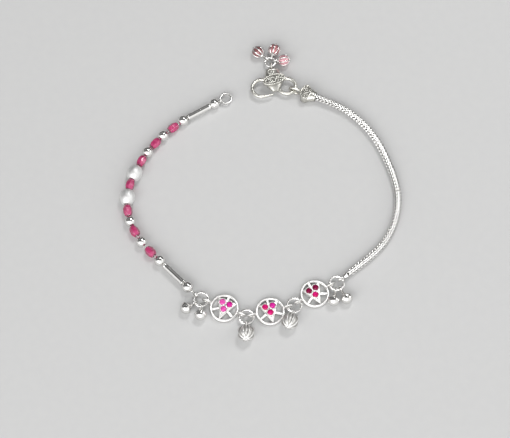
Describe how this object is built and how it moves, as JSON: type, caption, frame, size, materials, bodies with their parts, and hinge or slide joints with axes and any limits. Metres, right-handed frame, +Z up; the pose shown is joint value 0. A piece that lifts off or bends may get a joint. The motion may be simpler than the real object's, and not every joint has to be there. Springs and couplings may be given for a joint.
{
  "type": "payal anklet",
  "caption": "Silver payal anklet lying open: pink and silver bead string, openwork medallions with pink stones, bells and ribbed drops, foxtail chain, S-hook clasp with enamel drops and end ring.",
  "frame": {"origin": "middle of the bounding box, on the surface the anklet lies on", "axes": "+Z up from the surface; +Y from the medallion row towards the clasp; +X from the bead string towards the foxtail chain"},
  "size_m": [0.0991, 0.1168, 0.0059],
  "materials": {
    "polished_silver": "mirror polished silver",
    "chain_silver": "bright cut silver wire",
    "oxidised_silver": "bright silver darkened in the grooves",
    "frosted_silver": "fine matte grain",
    "pink_glass": "faceted raspberry pink glass",
    "pink_stone": "faceted bright pink stone",
    "pink_enamel": "clear pink enamel over silver ribs"
  },
  "bodies": {
    "root": {"end_ring": "polished_silver", "bead_thread": "polished_silver", "silver_bead_1": "polished_silver", "silver_bead_2": "polished_silver", "silver_bead_3": "polished_silver", "silver_bead_4": "polished_silver", "silver_bead_5": "polished_silver", "silver_bead_6": "polished_silver", "silver_bead_7": "polished_silver", "silver_bead_8": "polished_silver", "tube_bead_1": "polished_silver", "tube_bead_2": "polished_silver", "frosted_bead_1": "frosted_silver", "frosted_bead_2": "frosted_silver", "pink_bead_1": "pink_glass", "pink_bead_2": "pink_glass", "pink_bead_3": "pink_glass", "pink_bead_4": "pink_glass", "pink_bead_5": "pink_glass", "pink_bead_6": "pink_glass", "pink_bead_7": "pink_glass", "jump_ring_1": "polished_silver", "jump_ring_2": "polished_silver", "jump_ring_3": "polished_silver", "jump_ring_4": "polished_silver", "bell_1": "polished_silver", "bell_2": "polished_silver", "bell_3": "polished_silver", "bell_4": "polished_silver", "melon_drop_1": "oxidised_silver", "melon_drop_2": "oxidised_silver", "medallion_1": "polished_silver", "stone_1a": "pink_stone", "stone_1b": "pink_stone", "stone_1c": "pink_stone", "medallion_2": "polished_silver", "stone_2a": "pink_stone", "stone_2b": "pink_stone", "stone_2c": "pink_stone", "medallion_3": "polished_silver", "stone_3a": "pink_stone", "stone_3b": "pink_stone", "stone_3c": "pink_stone", "chain_end": "polished_silver", "foxtail_chain": "chain_silver", "end_cap": "oxidised_silver", "s_hook": "oxidised_silver", "cluster_ring": "polished_silver", "enamel_drop_1": "pink_enamel", "enamel_drop_2": "pink_enamel", "enamel_drop_3": "pink_enamel"}
  },
  "joints": []
}
